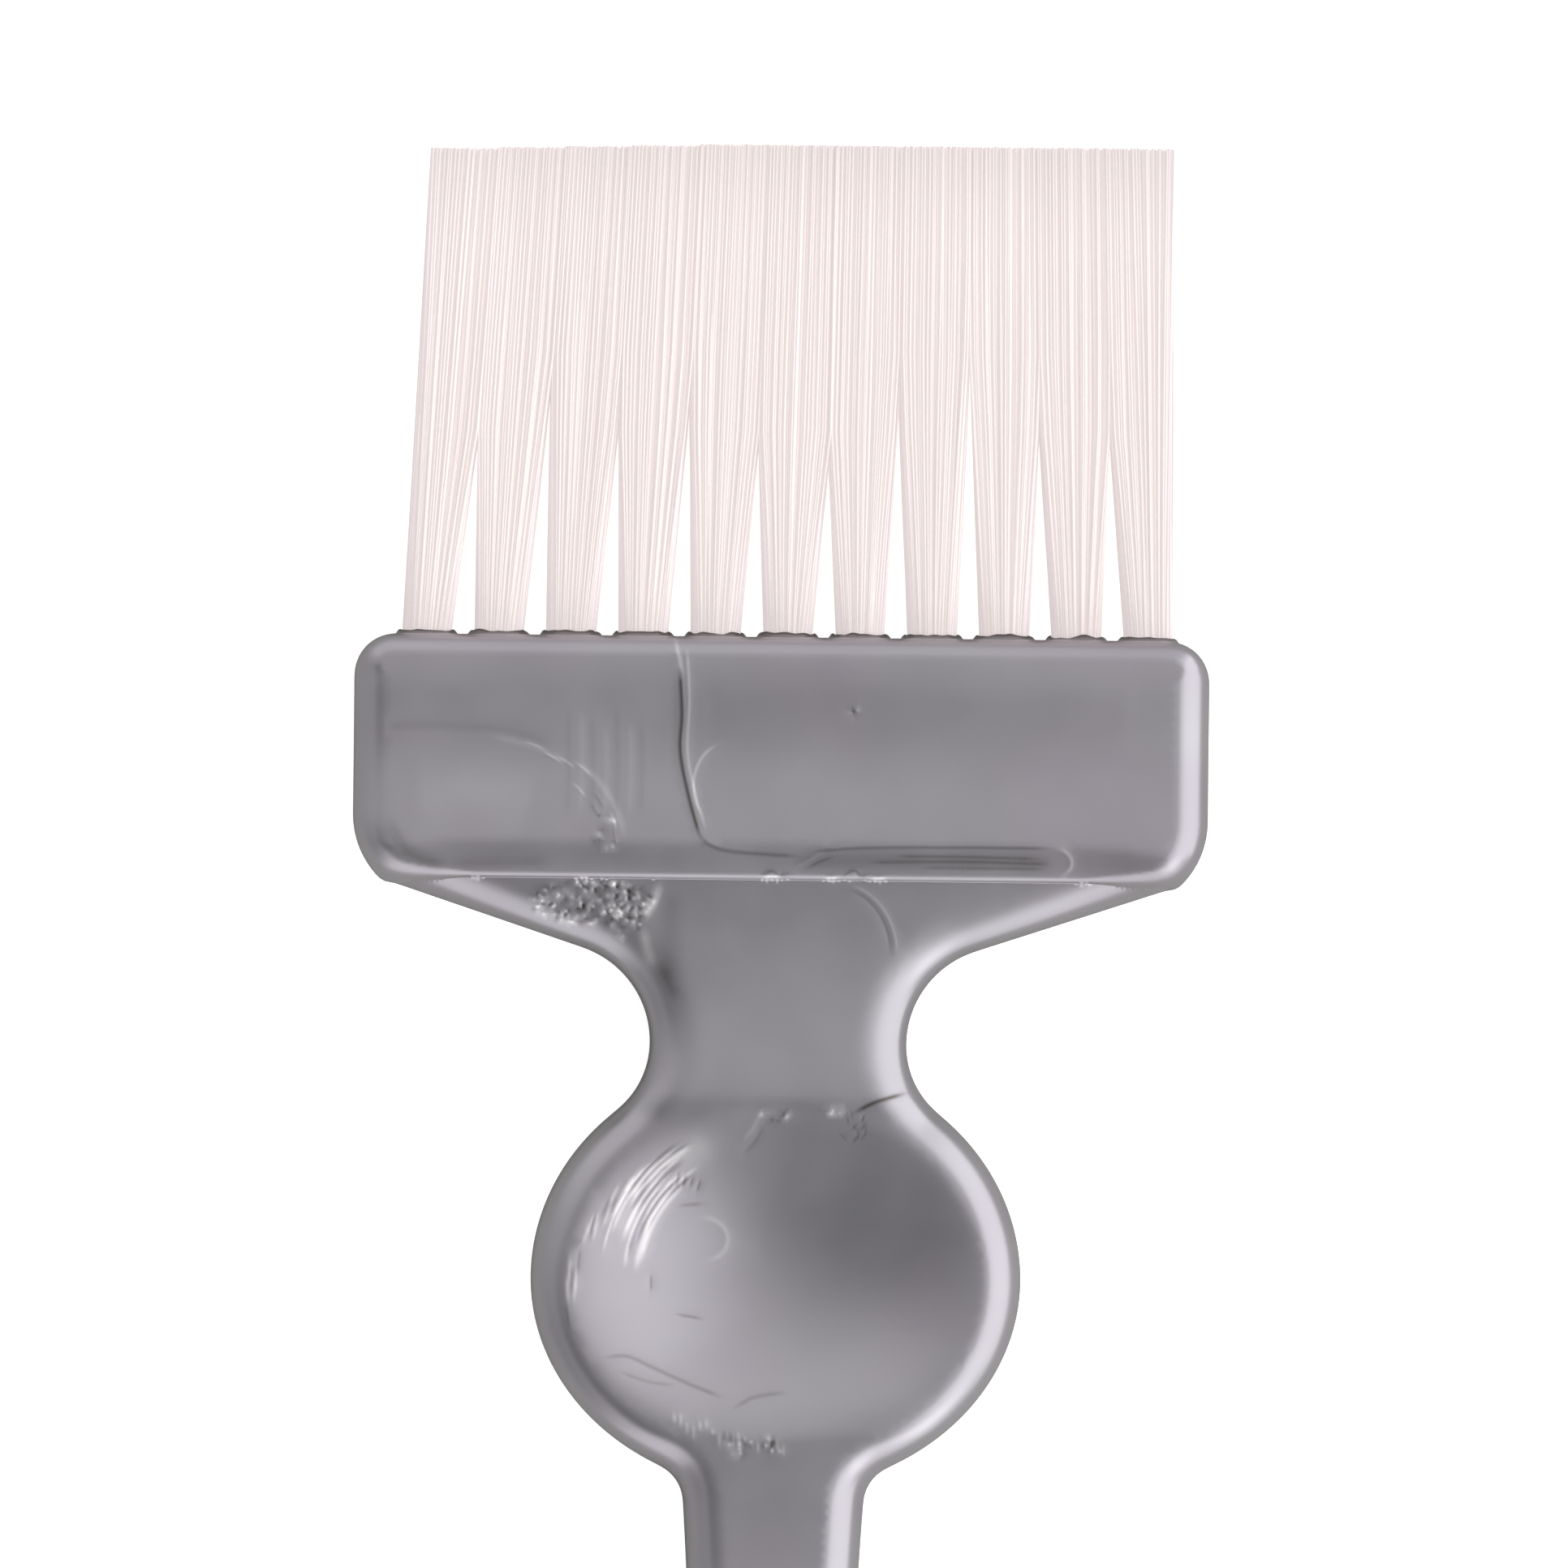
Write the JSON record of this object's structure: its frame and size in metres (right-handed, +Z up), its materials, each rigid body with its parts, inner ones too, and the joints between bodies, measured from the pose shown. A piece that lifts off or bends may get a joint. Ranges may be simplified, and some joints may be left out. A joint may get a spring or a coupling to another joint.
{
  "type": "pastry brush",
  "caption": "Flat pastry brush: moulded handle with a wide head, shoulders, a dished thumb disc and a tapering stem with a hanging eye, and a row of nylon tufts.",
  "frame": {"origin": "middle of the brush's box, on the plane that it lies on", "axes": "+Y along the brush towards the bristle tips, +X to the right seen from the front face, +Z up through the thickness, out of the front face"},
  "size_m": [0.0666, 0.2154, 0.01],
  "materials": {
    "handle_plastic": "satin pearl-grey moulded plastic with faint flow marks",
    "bristle_nylon": "translucent off-white nylon filament",
    "anchor_steel": "plain cut stainless strip"
  },
  "bodies": {
    "root": {"handle": "handle_plastic", "bristle_tuft_01": "bristle_nylon", "bristle_tuft_02": "bristle_nylon", "bristle_tuft_03": "bristle_nylon", "bristle_tuft_04": "bristle_nylon", "bristle_tuft_05": "bristle_nylon", "bristle_tuft_06": "bristle_nylon", "bristle_tuft_07": "bristle_nylon", "bristle_tuft_08": "bristle_nylon", "bristle_tuft_09": "bristle_nylon", "bristle_tuft_10": "bristle_nylon", "bristle_tuft_11": "bristle_nylon", "tuft_anchor_01": "anchor_steel", "tuft_anchor_02": "anchor_steel", "tuft_anchor_03": "anchor_steel", "tuft_anchor_04": "anchor_steel", "tuft_anchor_05": "anchor_steel", "tuft_anchor_06": "anchor_steel", "tuft_anchor_07": "anchor_steel", "tuft_anchor_08": "anchor_steel", "tuft_anchor_09": "anchor_steel", "tuft_anchor_10": "anchor_steel", "tuft_anchor_11": "anchor_steel"}
  },
  "joints": []
}
